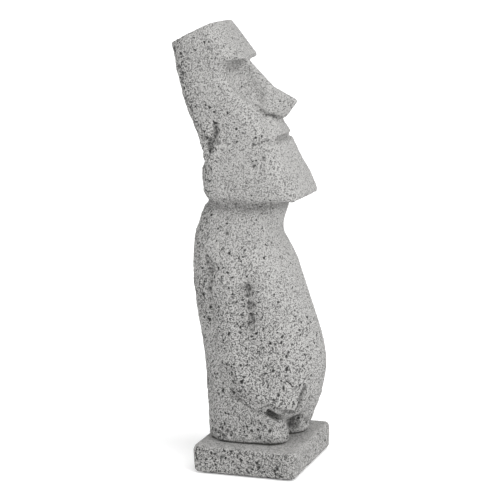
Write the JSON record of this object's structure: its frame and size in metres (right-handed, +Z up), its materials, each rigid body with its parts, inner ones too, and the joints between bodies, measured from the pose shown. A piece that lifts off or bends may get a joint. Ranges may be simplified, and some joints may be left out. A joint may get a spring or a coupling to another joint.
{
  "type": "moai-style stone figure on a plinth",
  "caption": "Porous cast-stone standing figure with a long, tilted-back head, flat crown, heavy jaw and round belly, on a low rectangular plinth, for display indoors or in a garden.",
  "frame": {"origin": "centre of the rubber base's lower face, which the piece stands on, under the middle of the plinth", "axes": "+Z up, the figure faces -Y, and +X is its left-hand side"},
  "size_m": [0.108, 0.1294, 0.4002],
  "materials": {
    "figure_stone": "matte",
    "plinth_stone": "matte",
    "mortar": "matte",
    "zinc_steel": "satin",
    "rubber": "matte"
  },
  "bodies": {
    "root": {"figure": "figure_stone", "plinth": "plinth_stone", "mortar_bed": "mortar", "core_rod": "zinc_steel", "washer": "zinc_steel", "nut": "zinc_steel", "locating_pin": "zinc_steel", "rubber_base": "rubber"}
  },
  "joints": []
}
